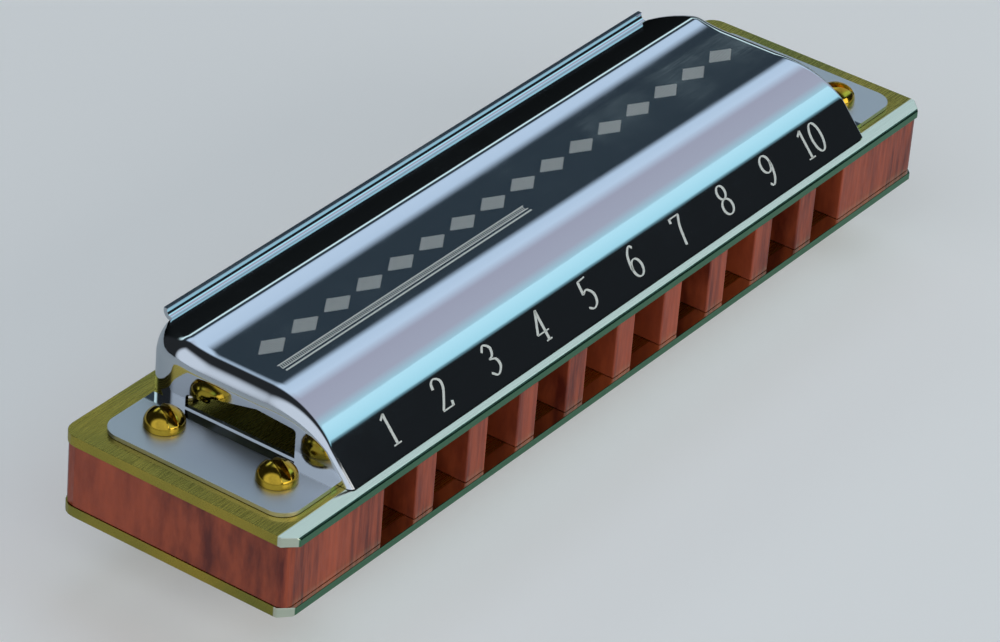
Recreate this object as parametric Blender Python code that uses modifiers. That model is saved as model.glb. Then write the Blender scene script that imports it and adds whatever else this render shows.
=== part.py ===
"""A ten-hole diatonic harmonica, built as it comes apart on a bench.

A wooden comb lies between two brass reed plates, each with ten reeds riveted over slots. Five screws draw
the plates together through the comb. Two formed steel covers lie on the plates, and four slotted bolts
with hexagon nuts go through their end tabs and everything between them.

X runs along the mouthpiece with hole 1 at -X, the mouthpiece faces -Y and +Z is up. The origin is under
the middle of the harmonica, on the plane that its lower cover lies on. All sizes are in metres.
"""

import math

import bmesh
import bpy
from mathutils import Matrix, Vector
from mathutils.geometry import interpolate_bezier

MM = 0.001

# Mouthpiece
HOLES = 10
HOLE_PITCH = 7.5 * MM
HOLE_WIDTH = 4.7 * MM
END_BLOCK = 13.5 * MM

# Comb
COMB_HEIGHT = 6.1 * MM
COMB_FRONT_SETBACK = 0.45 * MM
COMB_INSET = 0.1 * MM
COMB_FRONT_RADIUS = 1.0 * MM
TINE_RADIUS = 0.15 * MM
CHAMBER_END_ROOM = 0.9 * MM
CHAMBER_END_RADIUS = 1.0 * MM

# Reed plates
PLATE_WIDTH = 25.1 * MM
PLATE_THICKNESS = 1.0 * MM
PLATE_REAR_RADIUS = 1.6 * MM
PLATE_FRONT_NIP = 1.2 * MM
NOSE_WIDTH = 1.6 * MM
NOSE_DROP = 0.12 * MM
NOSE_EDGE = 0.2 * MM

# Reeds, with lengths from the rivet's centre to the tip
RIVET_LINE = 5.0 * MM
LONGEST_REED = 15.2 * MM
SHORTEST_REED = 9.8 * MM
DRAW_REED_SHORTER = 0.35 * MM
REED_WIDTH = 2.2 * MM
PAD_WIDTH = 2.9 * MM
PAD_HALF_LENGTH = 1.35 * MM
PAD_THICKNESS = 0.30 * MM
BELLY_THICKNESS = 0.20 * MM
LOW_TIP_THICKNESS = 0.28 * MM
HIGH_TIP_THICKNESS = 0.15 * MM
TIP_GAP = 0.25 * MM
SLOT_SIDE_CLEARANCE = 0.10 * MM
SLOT_TIP_CLEARANCE = 0.15 * MM
SLOT_ROOT_CLEARANCE = 0.15 * MM
REED_SEAT = 0.09 * MM

# Rivets
RIVET_RADIUS = 0.45 * MM
RIVET_HEAD_RADIUS = 0.8 * MM
RIVET_HEAD_HEIGHT = 0.35 * MM
RIVET_TAIL_RADIUS = 0.7 * MM
RIVET_TAIL_HEIGHT = 0.2 * MM
RIVET_HEAD_GAP = 0.06 * MM

# Covers, with profile points as distances back from the plates' front edge
SHEET = 0.4 * MM
COVER_END_INSET = 9.3 * MM
FACE_INSET = 0.95 * MM
FACE_ANGLE = math.radians(49)
FACE_LENGTH = 4.0 * MM
PANEL_START = 10.8 * MM
PANEL_HEIGHT = 5.9 * MM
RISE_LENGTH = 3.3 * MM
CREST_HEIGHT = 6.25 * MM
CREST_RADIUS = 0.5 * MM
REAR_SLOPE_ANGLE = math.radians(13)
REAR_SLOPE_LENGTH = 3.9 * MM
LIP_RADIUS = 0.5 * MM
LIP_TURN = math.radians(103)
LIP_RISE = 0.2 * MM
COVER_REAR_INSET = 0.05 * MM
FOLD_RADIUS = 0.55 * MM
ROLL_RADIUS = 2.0 * MM
REAR_CORNER_RADIUS = 4.2 * MM
REAR_CORNER_DEPTH = 3.7 * MM
TAB_END_INSET = 1.95 * MM
TAB_FRONT_INSET = 2.2 * MM
TAB_REAR_INSET = 2.5 * MM
TAB_RADIUS = 2.0 * MM
WINDOW_FRONT = 7.1 * MM
WINDOW_LENGTH = 9.5 * MM
WINDOW_NOTCH_LENGTH = 2.4 * MM
WINDOW_SILL = 0.15 * MM
WINDOW_BELOW_ROLL = 0.25 * MM
WINDOW_REAR_DROP = 1.2 * MM
WINDOW_NOTCH_DROP = 0.6 * MM
WINDOW_RADIUS = 0.4 * MM

# Cover bolts and nuts. The first is from a head's rim to the cover's end wall.
BOLT_WALL_GAP = 1.33 * MM
BOLT_ROW_SPACING = 12.2 * MM
BOLT_RADIUS = 1.0 * MM
BOLT_HEAD_RADIUS = 1.87 * MM
BOLT_HEAD_HEIGHT = 1.75 * MM
BOLT_HEAD_RIM = 0.3 * MM
BOLT_SLOT_WIDTH = 0.85 * MM
BOLT_SLOT_DEPTH = 0.95 * MM
BOLT_TIP = 0.6 * MM
NUT_ACROSS_FLATS = 4.0 * MM
NUT_THICKNESS = 1.6 * MM

# Reed plate screws
SCREW_RADIUS = 0.8 * MM
SCREW_HEAD_RADIUS = 1.4 * MM
SCREW_HEAD_HEIGHT = 0.75 * MM
SCREW_SLOT_WIDTH = 0.4 * MM
SCREW_SLOT_DEPTH = 0.35 * MM
SCREW_FROM_HOLE = 1.9 * MM
SCREW_REAR_INSET = 4.2 * MM
FRONT_SCREW_AFTER_HOLE = 2

# Clearances between pieces that touch
SEAT = 0.05 * MM
BORE_CLEARANCE = 0.1 * MM

# How far a cutter runs past what it cuts
OVERCUT = 1.0 * MM

# Sizes that follow from those above
BOLT_END_INSET = COVER_END_INSET - BOLT_WALL_GAP - BOLT_HEAD_RADIUS
PLATE_LENGTH = 2 * END_BLOCK + (HOLES - 1) * HOLE_PITCH + HOLE_WIDTH
FRONT = -PLATE_WIDTH / 2
REAR = PLATE_WIDTH / 2
COVER_END = PLATE_LENGTH / 2 - COVER_END_INSET
LOWER_COVER_FOOT = CREST_HEIGHT
LOWER_PLATE_BOTTOM = LOWER_COVER_FOOT + SEAT
COMB_BOTTOM = LOWER_PLATE_BOTTOM + PLATE_THICKNESS + SEAT
UPPER_PLATE_BOTTOM = COMB_BOTTOM + COMB_HEIGHT + SEAT
UPPER_COVER_FOOT = UPPER_PLATE_BOTTOM + PLATE_THICKNESS + SEAT
PLATE_BOTTOMS = {"blow": UPPER_PLATE_BOTTOM, "draw": LOWER_PLATE_BOTTOM}
UPSIDE_DOWN = Matrix.Rotation(math.pi, 4, "Y")

MODEL = bpy.data.collections.new("diatonic_harmonica")
CUTTERS = bpy.data.collections.new("cutters")


def material(name, colour, roughness, metallic):
    made = bpy.data.materials.new(name)
    made.use_nodes = True
    shader = made.node_tree.nodes["Principled BSDF"]
    shader.inputs["Base Color"].default_value = (*colour, 1)
    shader.inputs["Roughness"].default_value = roughness
    shader.inputs["Metallic"].default_value = metallic
    made.diffuse_color = (*colour, 1)
    return made


def hole_centre(number):
    """The X of a hole's middle, for holes numbered from 1."""
    return (number - (HOLES + 1) / 2) * HOLE_PITCH


def reed_length(number, row):
    """From the rivet's centre to the tip. Each reed is shorter than the last by the same ratio."""
    share = (number - 1) / (HOLES - 1)
    length = LONGEST_REED * (SHORTEST_REED / LONGEST_REED) ** share
    return length - (DRAW_REED_SHORTER if row == "draw" else 0)


def bolt_centres():
    x = PLATE_LENGTH / 2 - BOLT_END_INSET
    y = BOLT_ROW_SPACING / 2
    return {
        "front_left": (-x, -y),
        "rear_left": (-x, y),
        "front_right": (x, -y),
        "rear_right": (x, y),
    }


def screw_centres():
    front_x = hole_centre(FRONT_SCREW_AFTER_HOLE) + HOLE_PITCH / 2
    rear_x = hole_centre(1) - HOLE_WIDTH / 2 - SCREW_FROM_HOLE
    front_y = FRONT + RIVET_LINE
    rear_y = REAR - SCREW_REAR_INSET
    return {
        "front_left": (front_x, front_y),
        "front_right": (-front_x, front_y),
        "rear_left": (rear_x, rear_y),
        "rear_middle": (0, rear_y),
        "rear_right": (-rear_x, rear_y),
    }


def arc(centre, start, end, steps):
    """Points about the centre from one point to another, both included."""
    radius = (start - centre).length
    first = (start - centre).normalized()
    last = (end - centre).normalized()
    return [centre + radius * first.slerp(last, i / steps) for i in range(steps + 1)]


def rounded_outline(corners, steps=5):
    """A closed outline through (x, y, radius) corners. A radius of 0 leaves its corner sharp."""
    outline = []
    for index, (x, y, radius) in enumerate(corners):
        corner = Vector((x, y))
        if radius == 0:
            outline.append(corner)
            continue
        back = (Vector(corners[index - 1][:2]) - corner).normalized()
        ahead = (Vector(corners[(index + 1) % len(corners)][:2]) - corner).normalized()
        half = back.angle(ahead) / 2
        reach = radius / math.tan(half)
        centre = corner + (back + ahead).normalized() * (radius / math.sin(half))
        outline += arc(centre, corner + back * reach, corner + ahead * reach, steps)
    return outline


def circle(centre, radius, steps=16):
    turns = (2 * math.pi * i / steps for i in range(steps))
    return [Vector(centre) + radius * Vector((math.cos(a), math.sin(a))) for a in turns]


def add_object(name, data, surface=None, collection=MODEL):
    obj = bpy.data.objects.new(name, data)
    collection.objects.link(obj)
    if surface:
        data.materials.append(surface)
    return obj


def object_from(mesh_builder, name, surface=None, collection=MODEL):
    """An object whose mesh is what a BMesh holds. The BMesh is freed."""
    mesh = bpy.data.meshes.new(name)
    mesh_builder.to_mesh(mesh)
    mesh_builder.free()
    return add_object(name, mesh, surface, collection)


def settled_mesh(obj, name):
    """The object's mesh with its modifiers applied and its loose caps welded. The object is removed."""
    bpy.context.view_layer.update()
    graph = bpy.context.evaluated_depsgraph_get()
    mesh = bpy.data.meshes.new_from_object(obj.evaluated_get(graph))
    mesh.name = name
    bm = bmesh.new()
    bm.from_mesh(mesh)
    bmesh.ops.remove_doubles(bm, verts=bm.verts, dist=1e-7)
    bmesh.ops.recalc_face_normals(bm, faces=bm.faces)
    bm.to_mesh(mesh)
    bm.free()
    bpy.data.objects.remove(obj)
    return mesh


def flat_mesh(name, outlines, thickness):
    """A flat sheet from z = 0 up. The first outline is its edge, and the others are holes in it."""
    curve = bpy.data.curves.new(name + "_outline", "CURVE")
    curve.dimensions = "2D"
    curve.fill_mode = "BOTH"
    curve.extrude = thickness / 2
    for outline in outlines:
        spline = curve.splines.new("POLY")
        spline.points.add(len(outline) - 1)
        for point, place in zip(spline.points, outline):
            point.co = (place.x, place.y, 0, 1)
        spline.use_cyclic_u = True
    mesh = settled_mesh(add_object(name + "_outline", curve), name)
    mesh.transform(Matrix.Translation((0, 0, thickness / 2)))
    return mesh


def turned_mesh(name, profile, steps):
    """A solid turned about Z. The profile is (radius, height) points from the axis at the top to the
    axis at the bottom."""
    bm = bmesh.new()
    points = [bm.verts.new((radius, 0, height)) for radius, height in profile]
    for first, second in zip(points, points[1:]):
        bm.edges.new((first, second))
    obj = object_from(bm, name + "_profile")
    screw = obj.modifiers.new("turn", "SCREW")
    screw.steps = steps
    screw.render_steps = steps
    screw.use_merge_vertices = True
    screw.merge_threshold = 1e-6
    return smoothed(settled_mesh(obj, name))


def smoothed(mesh, angle=35):
    mesh.shade_smooth()
    mesh.set_sharp_from_angle(angle=math.radians(angle))
    return mesh


def make_cutter(bm, name):
    cutter = object_from(bm, name, collection=CUTTERS)
    cutter.hide_render = True
    cutter.display_type = "WIRE"
    return cutter


def box_cutter(name, low, high):
    bm = bmesh.new()
    sides = Vector(high) - Vector(low)
    middle = (Vector(high) + Vector(low)) / 2
    bmesh.ops.create_cube(bm, size=1, matrix=Matrix.Translation(middle) @ Matrix.Diagonal((*sides, 1)))
    return make_cutter(bm, name)


def bore_cutter(name, centres, radius, low, high, steps=16):
    """Upright cylinders that drill the same holes through whatever they are used on."""
    bm = bmesh.new()
    for x, y in centres:
        bmesh.ops.create_cone(
            bm,
            cap_ends=True,
            segments=steps,
            radius1=radius,
            radius2=radius,
            depth=high - low,
            matrix=Matrix.Translation((x, y, (low + high) / 2)),
        )
    return make_cutter(bm, name)


def combine(obj, other, operation="DIFFERENCE"):
    modifier = obj.modifiers.new(f"{operation.lower()} {other.name}", "BOOLEAN")
    modifier.operation = operation
    modifier.object = other
    modifier.solver = "EXACT"


def comb_outline():
    """The comb seen from above. Its chambers open at the mouth and end behind the reed tips."""
    end = PLATE_LENGTH / 2 - COMB_INSET
    mouth = FRONT + COMB_FRONT_SETBACK
    back = REAR - COMB_INSET
    rear_radius = PLATE_REAR_RADIUS - COMB_INSET
    corners = [(end, back, rear_radius), (-end, back, rear_radius), (-end, mouth, COMB_FRONT_RADIUS)]
    for number in range(1, HOLES + 1):
        left = hole_centre(number) - HOLE_WIDTH / 2
        right = left + HOLE_WIDTH
        tip = FRONT + RIVET_LINE + reed_length(number, "blow")
        depth = tip + SLOT_TIP_CLEARANCE + CHAMBER_END_ROOM
        corners += [
            (left, mouth, TINE_RADIUS),
            (left, depth, CHAMBER_END_RADIUS),
            (right, depth, CHAMBER_END_RADIUS),
            (right, mouth, TINE_RADIUS),
        ]
    corners.append((end, mouth, COMB_FRONT_RADIUS))
    return rounded_outline(corners, steps=3)


def make_comb(surface):
    outlines = [comb_outline()]
    outlines += [circle(c, BOLT_RADIUS + BORE_CLEARANCE) for c in bolt_centres().values()]
    outlines += [circle(c, SCREW_RADIUS + BORE_CLEARANCE, 12) for c in screw_centres().values()]
    comb = add_object("comb", flat_mesh("comb", outlines, COMB_HEIGHT), surface)
    comb.location.z = COMB_BOTTOM


def reed_slot(number, row):
    left = hole_centre(number) - REED_WIDTH / 2 - SLOT_SIDE_CLEARANCE
    right = left + REED_WIDTH + 2 * SLOT_SIDE_CLEARANCE
    root = FRONT + RIVET_LINE + PAD_HALF_LENGTH + SLOT_ROOT_CLEARANCE
    tip = FRONT + RIVET_LINE + reed_length(number, row) + SLOT_TIP_CLEARANCE
    return [Vector(p) for p in ((left, root), (right, root), (right, tip), (left, tip))]


def slice_off(mesh, point, normal):
    """Planes away what lies on the normal's side of a plane, and closes the cut."""
    bm = bmesh.new()
    bm.from_mesh(mesh)
    everything = [*bm.verts, *bm.edges, *bm.faces]
    cut = bmesh.ops.bisect_plane(bm, geom=everything, plane_co=point, plane_no=normal, clear_outer=True)
    rim = [item for item in cut["geom_cut"] if isinstance(item, bmesh.types.BMEdge)]
    bmesh.ops.contextual_create(bm, geom=rim)
    bmesh.ops.recalc_face_normals(bm, faces=bm.faces)
    bm.to_mesh(mesh)
    bm.free()


def shape_nose(mesh):
    """Eases the lip side of a plate: a long shallow fall to the front edge, then a small broken edge."""
    top = PLATE_THICKNESS
    slice_off(mesh, (0, FRONT + NOSE_WIDTH, top), (0, -NOSE_DROP, NOSE_WIDTH))
    slice_off(mesh, (0, FRONT + NOSE_EDGE, top - NOSE_DROP), (0, -1, 1))


def make_reed_plate(name, row, surface):
    """A plate with its outer face up. The lower plate is turned over about Y, so its holes are set out
    from the other end."""
    side = 1 if row == "blow" else -1
    end = PLATE_LENGTH / 2
    corners = (
        (end, REAR, PLATE_REAR_RADIUS),
        (-end, REAR, PLATE_REAR_RADIUS),
        (-end, FRONT + PLATE_FRONT_NIP, 0),
        (-end + PLATE_FRONT_NIP, FRONT, 0),
        (end - PLATE_FRONT_NIP, FRONT, 0),
        (end, FRONT + PLATE_FRONT_NIP, 0),
    )
    screw_clearance = BORE_CLEARANCE if row == "blow" else SEAT
    outlines = [rounded_outline(corners)]
    for number in range(1, HOLES + 1):
        outlines.append([Vector((side * p.x, p.y)) for p in reed_slot(number, row)])
        rivet = (side * hole_centre(number), FRONT + RIVET_LINE)
        outlines.append(circle(rivet, RIVET_RADIUS + SEAT, 10))
    outlines += [circle(c, BOLT_RADIUS + BORE_CLEARANCE) for c in bolt_centres().values()]
    outlines += [circle(c, SCREW_RADIUS + screw_clearance, 12) for c in screw_centres().values()]
    mesh = flat_mesh(name, outlines, PLATE_THICKNESS)
    shape_nose(mesh)
    plate = add_object(name, mesh, surface)
    if row == "blow":
        plate.location.z = UPPER_PLATE_BOTTOM
    else:
        plate.matrix_world = Matrix.Translation((0, 0, LOWER_PLATE_BOTTOM + PLATE_THICKNESS)) @ UPSIDE_DOWN


def reed_stations(number, length):
    """(distance from the rivet, width, upper face, lower face) down the length of a reed. It thins from
    its pad to its belly, and its tip stands off the plate. Low reeds have heavy tips, high ones light."""
    share = (number - 1) / (HOLES - 1)
    tip_thickness = LOW_TIP_THICKNESS + (HIGH_TIP_THICKNESS - LOW_TIP_THICKNESS) * share
    face = PAD_THICKNESS / 2
    root = PAD_HALF_LENGTH + SLOT_ROOT_CLEARANCE
    stations = [
        (-PAD_HALF_LENGTH, PAD_WIDTH, face, -face),
        (PAD_HALF_LENGTH - SLOT_ROOT_CLEARANCE, PAD_WIDTH, face, -face),
        (root, REED_WIDTH, face, -face),
    ]
    for part in (0.25, 0.5, 0.75, 0.9, 1.0):
        upper = face - TIP_GAP * part**2
        thickness = BELLY_THICKNESS + (tip_thickness - BELLY_THICKNESS) * max(0, 2 * part - 1)
        if part == 0.25:
            thickness = (PAD_THICKNESS + BELLY_THICKNESS) / 2
        stations.append((root + (length - root) * part, REED_WIDTH, upper, upper - thickness))
    return stations


def reed_mesh(name, stations):
    """A skin over rectangles that change in width and thickness, which no extrusion or bevel makes."""
    bm = bmesh.new()
    rings = []
    for y, width, upper, lower in stations:
        corners = ((-1, upper), (1, upper), (1, lower), (-1, lower))
        rings.append([bm.verts.new((side * width / 2, y, z)) for side, z in corners])
    for ring, ahead in zip(rings, rings[1:]):
        for i in range(4):
            j = (i + 1) % 4
            bm.faces.new((ring[i], ring[j], ahead[j], ahead[i]))
    bm.faces.new(rings[0])
    bm.faces.new(rings[-1])
    bmesh.ops.recalc_face_normals(bm, faces=bm.faces)
    mesh = bpy.data.meshes.new(name)
    bm.to_mesh(mesh)
    bm.free()
    return mesh


def make_reeds(row, surface, bore):
    """Reeds under their plate. Each one's origin is on its hinge line, through the rivet."""
    axis_z = PLATE_BOTTOMS[row] - REED_SEAT - PAD_THICKNESS / 2
    for number in range(1, HOLES + 1):
        name = f"{row}_reed_{number}"
        stations = reed_stations(number, reed_length(number, row))
        reed = add_object(name, reed_mesh(name, stations), surface)
        reed.location = (hole_centre(number), FRONT + RIVET_LINE, axis_z)
        combine(reed, bore)


def make_rivets(row, surface):
    """Rivets with their head under the reed and their tail spread over the plate."""
    bottom = PLATE_BOTTOMS[row]
    head_top = -REED_SEAT - PAD_THICKNESS - RIVET_HEAD_GAP
    tail_bottom = PLATE_THICKNESS + SEAT
    profile = (
        (0, tail_bottom + RIVET_TAIL_HEIGHT),
        (RIVET_TAIL_RADIUS * 0.6, tail_bottom + RIVET_TAIL_HEIGHT * 0.8),
        (RIVET_TAIL_RADIUS, tail_bottom),
        (RIVET_RADIUS, tail_bottom),
        (RIVET_RADIUS, head_top),
        (RIVET_HEAD_RADIUS, head_top),
        (RIVET_HEAD_RADIUS * 0.9, head_top - RIVET_HEAD_HEIGHT * 0.5),
        (RIVET_HEAD_RADIUS * 0.5, head_top - RIVET_HEAD_HEIGHT),
        (0, head_top - RIVET_HEAD_HEIGHT),
    )
    mesh = turned_mesh(f"{row}_rivet", profile, steps=10)
    mesh.materials.append(surface)
    for number in range(1, HOLES + 1):
        rivet = add_object(f"{row}_rivet_{number}", mesh)
        rivet.location = (hole_centre(number), FRONT + RIVET_LINE, bottom)


def cover_rows():
    """The cover's cross-section from under its front foot to its rear slope, as rows of
    (y, z, roll radius, lean). The roll is the bend into the end wall, and its lean is how far the
    bend turns forward from straight down: both ease from the sharp front fold to the full top roll."""
    foot = Vector((FRONT + FACE_INSET, 0))
    up_face = Vector((math.cos(FACE_ANGLE), math.sin(FACE_ANGLE)))
    face_end = foot + up_face * FACE_LENGTH
    panel_start = Vector((FRONT + PANEL_START, PANEL_HEIGHT))
    rows = [(foot - up_face * 0.7 * MM, 0), (face_end, 0)]
    reach = (panel_start.x - face_end.x) / 2
    handles = (face_end, face_end + up_face * reach * 0.45, panel_start - Vector((reach, 0)), panel_start)
    shoulder = interpolate_bezier(*(Vector((p.x, p.y, 0)) for p in handles), 9)
    rows += [(Vector((p.x, p.y)), i / 8) for i, p in enumerate(shoulder)][1:]
    slope = Vector((math.cos(REAR_SLOPE_ANGLE), -math.sin(REAR_SLOPE_ANGLE)))
    lip_depth = LIP_RADIUS * (1 + math.sin(REAR_SLOPE_ANGLE)) + SHEET
    slope_end_y = REAR - COVER_REAR_INSET - lip_depth
    crest = Vector((slope_end_y - REAR_SLOPE_LENGTH * slope.x, CREST_HEIGHT))
    for part in (0, 0.35, 0.7, 0.9):
        y = crest.x - RISE_LENGTH * (1 - part)
        rows.append((Vector((y, PANEL_HEIGHT + (CREST_HEIGHT - PANEL_HEIGHT) * part**2)), 1))
    rows.append((crest, 1))
    for part in (CREST_RADIUS / REAR_SLOPE_LENGTH, 0.5, 0.8, 1):
        rows.append((crest + slope * REAR_SLOPE_LENGTH * part, 1))
    return [
        (p.x, p.y, FOLD_RADIUS + (ROLL_RADIUS - FOLD_RADIUS) * ease, FACE_ANGLE * (1 - ease))
        for p, ease in rows
    ]


def lip_rows(slope_end):
    """The rear edge turned up out of the slope, as (y, z) points."""
    heading = -REAR_SLOPE_ANGLE
    centre = slope_end + LIP_RADIUS * Vector((-math.sin(heading), math.cos(heading)))
    points = []
    steps = 5
    for i in range(1, steps + 1):
        angle = heading + LIP_TURN * i / steps
        points.append(centre + LIP_RADIUS * Vector((math.sin(angle), -math.cos(angle))))
    end = heading + LIP_TURN
    points.append(points[-1] + LIP_RISE * Vector((math.cos(end), math.sin(end))))
    return points


def end_of_row(y):
    """How far out the end wall stands at a depth y. It turns in round the rear corner."""
    corner_start = cover_rows()[-1][0] - REAR_CORNER_DEPTH
    depth = max(0, y - corner_start)
    return COVER_END - REAR_CORNER_RADIUS + math.sqrt(REAR_CORNER_RADIUS**2 - depth**2)


def cover_sheet():
    """The cover's outer face as an open surface: each row climbs one end wall, rolls over, crosses the
    top and comes down the other. Only the middle of the sheet goes on into the rear lip."""
    bm = bmesh.new()
    steps = 5
    grid = []
    for y, z, roll, lean in cover_rows():
        end = end_of_row(y)
        inward_y = roll * math.sin(lean)
        inward_z = -roll * math.cos(lean)
        half = [(end, y + inward_y, -1 * MM)]
        for i in range(steps, -1, -1):
            angle = math.pi / 2 * i / steps
            drop = 1 - math.cos(angle)
            half.append((end - roll * (1 - math.sin(angle)), y + inward_y * drop, z + inward_z * drop))
        row = [(-x, py, pz) for x, py, pz in half] + half[::-1]
        grid.append([bm.verts.new(p) for p in row])
    for row, behind in zip(grid, grid[1:]):
        for i in range(len(row) - 1):
            bm.faces.new((row[i], row[i + 1], behind[i + 1], behind[i]))
    last = grid[-1]
    left, right = last[steps + 1], last[steps + 2]
    for y, z in lip_rows(Vector((left.co.y, left.co.z))):
        next_left = bm.verts.new((left.co.x, y, z))
        next_right = bm.verts.new((right.co.x, y, z))
        bm.faces.new((left, right, next_right, next_left))
        left, right = next_left, next_right
    bmesh.ops.recalc_face_normals(bm, faces=bm.faces)
    if max(bm.faces, key=lambda face: face.calc_center_median().z).normal.z < 0:
        bmesh.ops.reverse_faces(bm, faces=bm.faces)
    return bm


def tab_cutters():
    """The flat end tabs, a little deeper than the sheet so that one cut levels them with the foot."""
    inner = COVER_END - SHEET / 2
    outer = PLATE_LENGTH / 2 - TAB_END_INSET
    front = FRONT + TAB_FRONT_INSET
    back = REAR - TAB_REAR_INSET
    tabs = []
    for side, place in ((-1, "left"), (1, "right")):
        corners = (
            (side * inner, front, 0),
            (side * outer, front, TAB_RADIUS),
            (side * outer, back, TAB_RADIUS),
            (side * inner, back, 0),
        )
        mesh = flat_mesh(f"tab_{place}", [rounded_outline(corners)], SHEET * 1.5)
        mesh.transform(Matrix.Translation((0, 0, -SHEET / 2)))
        tab = add_object(f"tab_{place}", mesh, collection=CUTTERS)
        tab.hide_render = True
        tab.display_type = "WIRE"
        tabs.append(tab)
    return tabs


def window_cutter(side, place):
    """The vent in an end wall: an arched window with a lower notch behind it."""
    top = PANEL_HEIGHT - ROLL_RADIUS - WINDOW_BELOW_ROLL
    sill = SHEET + WINDOW_SILL
    front = FRONT + WINDOW_FRONT
    middle = front + WINDOW_LENGTH * 0.45
    back = front + WINDOW_LENGTH
    rear_top = top - WINDOW_REAR_DROP
    notch_top = rear_top - WINDOW_NOTCH_DROP
    notch_end = back + WINDOW_NOTCH_LENGTH
    corners = (
        (front, sill, 0),
        (front, top - WINDOW_BELOW_ROLL, WINDOW_RADIUS),
        (middle, top, 0),
        (back, rear_top, WINDOW_RADIUS),
        (back, notch_top, 0),
        (notch_end, notch_top, WINDOW_RADIUS),
        (notch_end, sill, 0),
    )
    depth = REAR_CORNER_RADIUS
    mesh = flat_mesh(f"window_{place}", [rounded_outline(corners, steps=3)], depth)
    upright = Matrix(((0, 0, 1, 0), (1, 0, 0, 0), (0, 1, 0, 0), (0, 0, 0, 1)))
    inner = COVER_END - depth / 2
    mesh.transform(Matrix.Translation((inner if side > 0 else -inner - depth, 0, 0)) @ upright)
    window = add_object(f"window_{place}", mesh, collection=CUTTERS)
    window.hide_render = True
    window.display_type = "WIRE"
    return window


def make_covers(surface):
    """Both covers are one pressing. The lower one is turned over about Y."""
    sheet = object_from(cover_sheet(), "cover_sheet")
    solidify = sheet.modifiers.new("sheet", "SOLIDIFY")
    solidify.thickness = SHEET
    solidify.offset = -1
    solidify.use_even_offset = True
    for tab in tab_cutters():
        combine(sheet, tab, "UNION")
    low = (-PLATE_LENGTH, FRONT - OVERCUT, -3 * OVERCUT)
    combine(sheet, box_cutter("foot_level", low, (PLATE_LENGTH, REAR + OVERCUT, 0)))
    for side, place in ((-1, "left"), (1, "right")):
        combine(sheet, window_cutter(side, place))
    holes = bolt_centres().values()
    bore = bore_cutter("tab_bores", holes, BOLT_RADIUS + BORE_CLEARANCE, -OVERCUT, SHEET + OVERCUT)
    combine(sheet, bore)
    mesh = smoothed(settled_mesh(sheet, "cover"), 40)
    mesh.materials.append(surface)
    upper = add_object("upper_cover", mesh)
    upper.location.z = UPPER_COVER_FOOT
    lower = add_object("lower_cover", mesh)
    lower.matrix_world = Matrix.Translation((0, 0, LOWER_COVER_FOOT)) @ UPSIDE_DOWN


def dome(radius, height, base, rim, steps=5):
    """(radius, height) points of a round head from its crown down to its rim."""
    rise = height - rim
    points = []
    for i in range(steps + 1):
        angle = math.pi / 2 * i / steps
        points.append((radius * math.sin(angle), base + rim + rise * math.cos(angle)))
    return points + [(radius, base)]


def slotted(name, profile, slot_width, slot_depth, top, reach, steps):
    """A turned screw or bolt with a screwdriver slot across its head."""
    screw = add_object(name + "_blank", turned_mesh(name, profile, steps))
    half = slot_width / 2
    low = (-half, -reach, top - slot_depth)
    combine(screw, box_cutter(name + "_slot", low, (half, reach, top + OVERCUT)))
    return smoothed(settled_mesh(screw, name))


def make_bolts(surface, nut_surface):
    """Round-head bolts from the upper tabs down to nuts under the lower tabs. Heights are measured from
    the face that the heads sit on."""
    head_seat = UPPER_COVER_FOOT + SHEET + SEAT
    nut_top = LOWER_COVER_FOOT - SHEET - SEAT
    tip = nut_top - NUT_THICKNESS - BOLT_TIP - head_seat
    chamfer = BOLT_RADIUS * 0.25
    profile = dome(BOLT_HEAD_RADIUS, BOLT_HEAD_HEIGHT, 0, BOLT_HEAD_RIM) + [
        (BOLT_RADIUS, 0),
        (BOLT_RADIUS, tip + chamfer),
        (BOLT_RADIUS - chamfer, tip),
        (0, tip),
    ]
    reach = BOLT_HEAD_RADIUS + OVERCUT
    mesh = slotted(
        "cover_bolt", profile, BOLT_SLOT_WIDTH, BOLT_SLOT_DEPTH, BOLT_HEAD_HEIGHT, reach, 18
    )
    mesh.materials.append(surface)
    nut = nut_mesh()
    nut.materials.append(nut_surface)
    turns = {"front_left": -24, "rear_left": -25, "front_right": 38, "rear_right": -63}
    for place, (x, y) in bolt_centres().items():
        bolt = add_object(f"cover_bolt_{place}", mesh)
        bolt.location = (x, y, head_seat)
        bolt.rotation_euler.z = math.radians(turns[place])
        seat = add_object(f"cover_nut_{place}", nut)
        seat.location = (x, y, nut_top)
        seat.rotation_euler.z = math.radians(turns[place] / 2)


def nut_mesh():
    """A hexagon nut that hangs from z = 0, with its lower corners turned off at thirty degrees."""
    bm = bmesh.new()
    across_corners = NUT_ACROSS_FLATS / math.cos(math.radians(30))
    bmesh.ops.create_cone(
        bm,
        cap_ends=True,
        segments=6,
        radius1=across_corners / 2,
        radius2=across_corners / 2,
        depth=NUT_THICKNESS,
        matrix=Matrix.Translation((0, 0, -NUT_THICKNESS / 2)),
    )
    nut = object_from(bm, "nut_blank")
    flat = NUT_ACROSS_FLATS / 2
    drop = (across_corners / 2 - flat) * math.tan(math.radians(30))
    past = flat + OVERCUT
    cone = (
        (0, OVERCUT),
        (past, OVERCUT),
        (past, -NUT_THICKNESS + drop + (past - across_corners / 2) * math.tan(math.radians(30))),
        (flat * 0.95, -NUT_THICKNESS),
        (0, -NUT_THICKNESS),
    )
    body = add_object("nut_chamfer", turned_mesh("nut_chamfer", cone, 24), collection=CUTTERS)
    body.hide_render = True
    body.display_type = "WIRE"
    combine(nut, body, "INTERSECT")
    radius = BOLT_RADIUS + SEAT
    combine(nut, bore_cutter("nut_bore", [(0, 0)], radius, -NUT_THICKNESS - OVERCUT, OVERCUT))
    return smoothed(settled_mesh(nut, "cover_nut"))


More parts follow.
